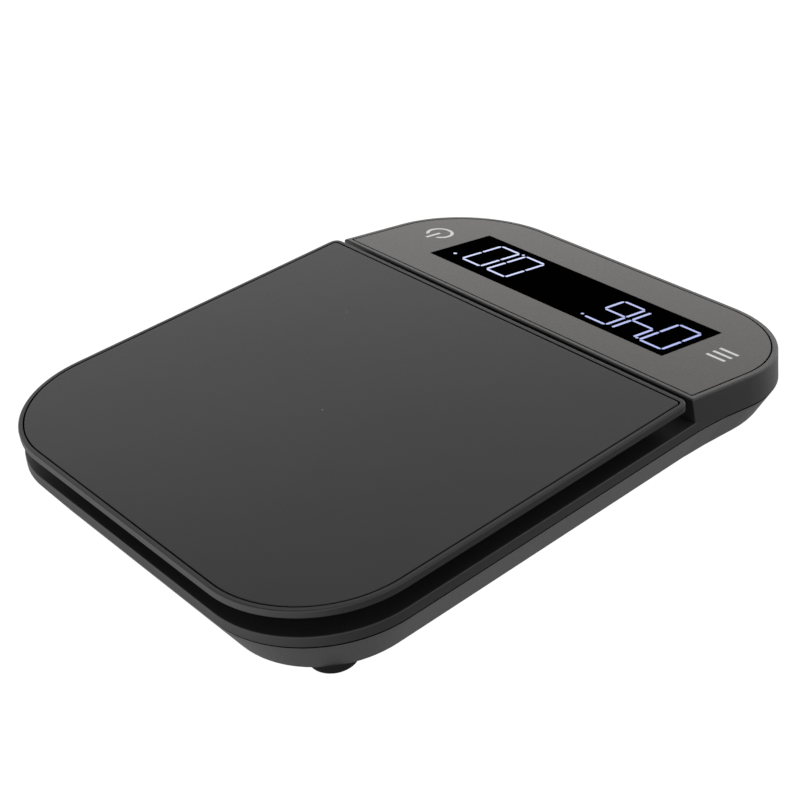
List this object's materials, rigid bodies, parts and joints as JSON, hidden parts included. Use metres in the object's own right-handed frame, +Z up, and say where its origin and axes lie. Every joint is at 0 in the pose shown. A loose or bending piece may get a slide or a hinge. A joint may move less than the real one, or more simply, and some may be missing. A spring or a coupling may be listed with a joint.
{
  "type": "flat digital scale",
  "caption": "Flat rectangular bench scale with a rounded weighing platform on a load cell and a sloping console with a digital display and two touch keys.",
  "frame": {"origin": "on the table under the centre of the scale's outline", "axes": "+X to the user's right, +Y away from the user towards the platform end, +Z up"},
  "size_m": [0.123, 0.1573, 0.0211],
  "materials": {
    "panel_black": "fine matt coating",
    "shell_black": "fine satin texture",
    "console_face": "satin printed lens, very dark warm grey",
    "symbol_white": "translucent white, lit from behind",
    "window_black": "smoked, glossy",
    "bar_lit": "translucent, lit bluish white",
    "bar_dark": "translucent, unlit",
    "module_black": "moulded light box",
    "tape_clear": "double-sided adhesive film",
    "carrier_alloy": "die cast",
    "cell_alloy": "milled",
    "steel": "zinc plated",
    "black_steel": "blackened",
    "silicone_white": "brushed-on sealant",
    "foot_rubber": "moulded rubber",
    "foam_black": "conductive foam",
    "board_green": "solder mask over fibreglass laminate",
    "chip_black": "moulded packages",
    "lamp_white": "surface-mount lamp",
    "pouch_silver": "laminated pouch film",
    "wire_skin": "insulated wire",
    "socket_steel": "bright plated shell"
  },
  "bodies": {
    "base": {"load_cell": "cell_alloy", "gauge_covers": "silicone_white", "cell_spacer": "cell_alloy", "cell_screws": "black_steel", "cell_wires": "wire_skin", "overload_stop": "steel", "lower_housing": "shell_black", "rubber_feet": "foot_rubber", "housing_screws": "black_steel", "upper_housing": "shell_black", "console_panel": "console_face", "key_symbols": "symbol_white", "display_window": "window_black", "display_bars_lit": "bar_lit", "display_bars_dark": "bar_dark", "display_module": "module_black", "main_board": "board_green", "board_screws": "steel", "board_chips": "chip_black", "touch_rings": "foam_black", "key_lamps": "lamp_white", "battery_cell": "pouch_silver", "battery_pad": "foam_black", "battery_wires": "wire_skin", "buzzer": "chip_black", "usb_board": "board_green", "usb_screws": "steel", "usb_socket": "socket_steel", "usb_wires": "wire_skin"},
    "platform": {"platform_panel": "panel_black", "panel_adhesive": "tape_clear", "platform_tray": "shell_black", "platform_carrier": "carrier_alloy", "carrier_screws": "steel", "platform_spacer": "cell_alloy", "platform_screws": "steel"}
  },
  "joints": [
    {"name": "platform_sink", "type": "slide", "parent": "base", "child": "platform", "axis": [0, 0, 1], "range_m": [-0.0006, 0], "stiffness_N_per_m": 60000, "deforming": ["load_cell"]}
  ]
}
